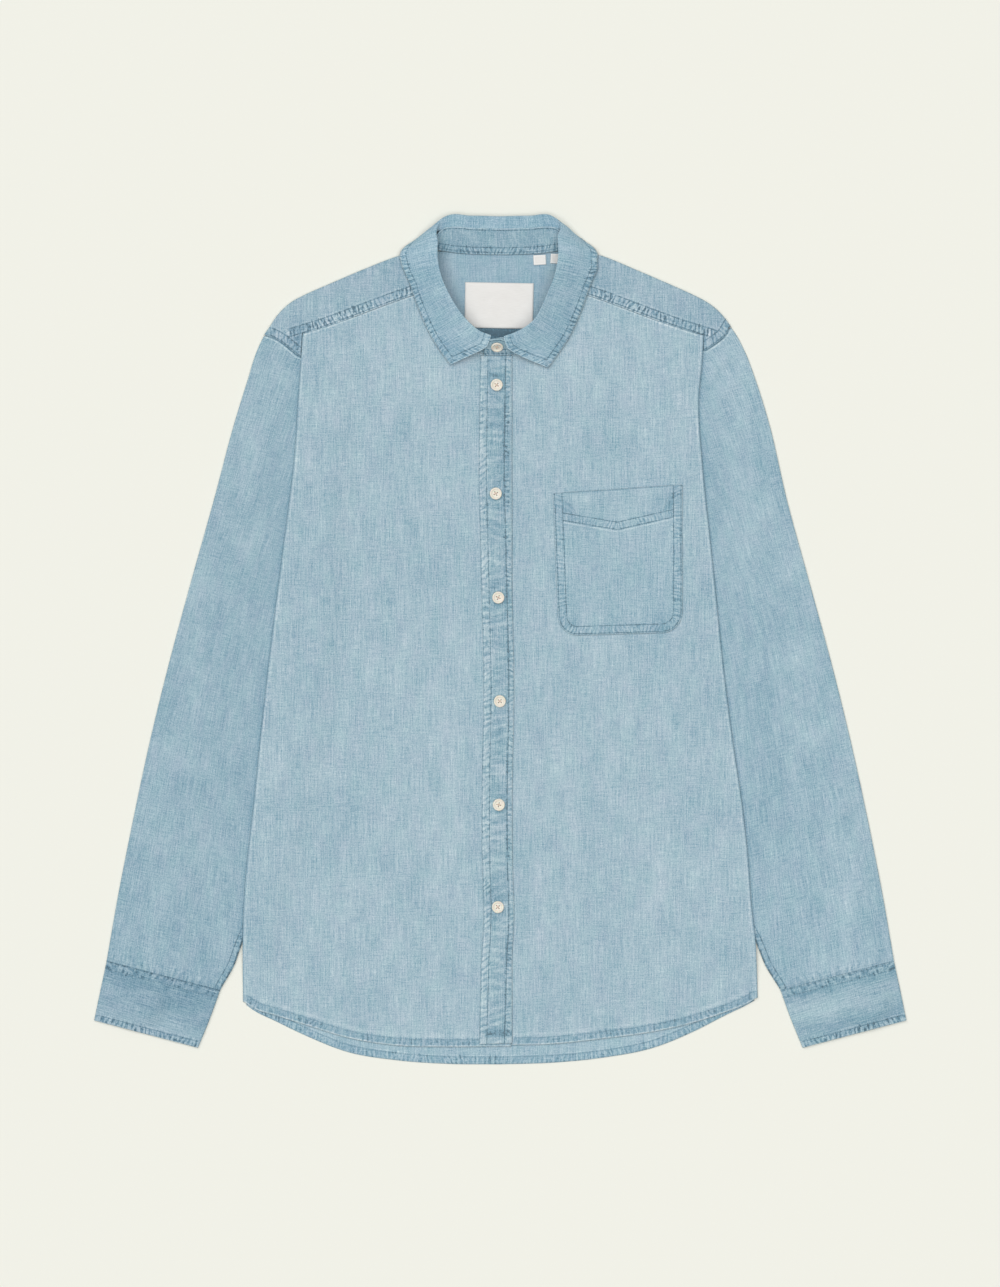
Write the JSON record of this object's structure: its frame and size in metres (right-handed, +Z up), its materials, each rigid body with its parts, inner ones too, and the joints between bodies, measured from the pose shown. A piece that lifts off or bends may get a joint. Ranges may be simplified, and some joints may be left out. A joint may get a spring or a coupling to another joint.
{
  "type": "shirt",
  "caption": "Long-sleeved chambray shirt, buttoned up and laid flat face up, with a turned-down collar, a front button band, a patch pocket and a rounded tail.",
  "frame": {"origin": "on the surface the shirt lies on, under the middle of the laid-out shirt", "axes": "+Z up out of the shirt's front, +Y towards the collar, +X towards the wearer's left side"},
  "size_m": [0.7508, 0.7872, 0.0225],
  "materials": {
    "body_chambray": "matte",
    "sleeve_chambray": "matte",
    "yoke_chambray": "matte",
    "collar_chambray": "matte",
    "cuff_chambray": "matte",
    "band_chambray": "matte",
    "pocket_chambray": "matte",
    "label_cloth": "matte",
    "button_cream": "satin"
  },
  "bodies": {
    "root": {"back": "body_chambray", "front_right": "body_chambray", "front_left": "body_chambray", "yoke_outer": "yoke_chambray", "yoke_inner": "yoke_chambray", "sleeve_right": "sleeve_chambray", "sleeve_left": "sleeve_chambray", "cuff_right": "cuff_chambray", "cuff_left": "cuff_chambray", "sleeve_placket_right": "band_chambray", "sleeve_placket_left": "band_chambray", "front_placket": "band_chambray", "pocket": "pocket_chambray", "collar_stand": "collar_chambray", "collar_leaf": "collar_chambray", "brand_label": "label_cloth", "size_label": "label_cloth", "care_label": "label_cloth", "button_stand": "button_cream", "button_cuff_right": "button_cream", "button_cuff_left": "button_cream", "button_front_1": "button_cream", "button_front_2": "button_cream", "button_front_3": "button_cream", "button_front_4": "button_cream", "button_front_5": "button_cream", "button_front_6": "button_cream"}
  },
  "joints": []
}
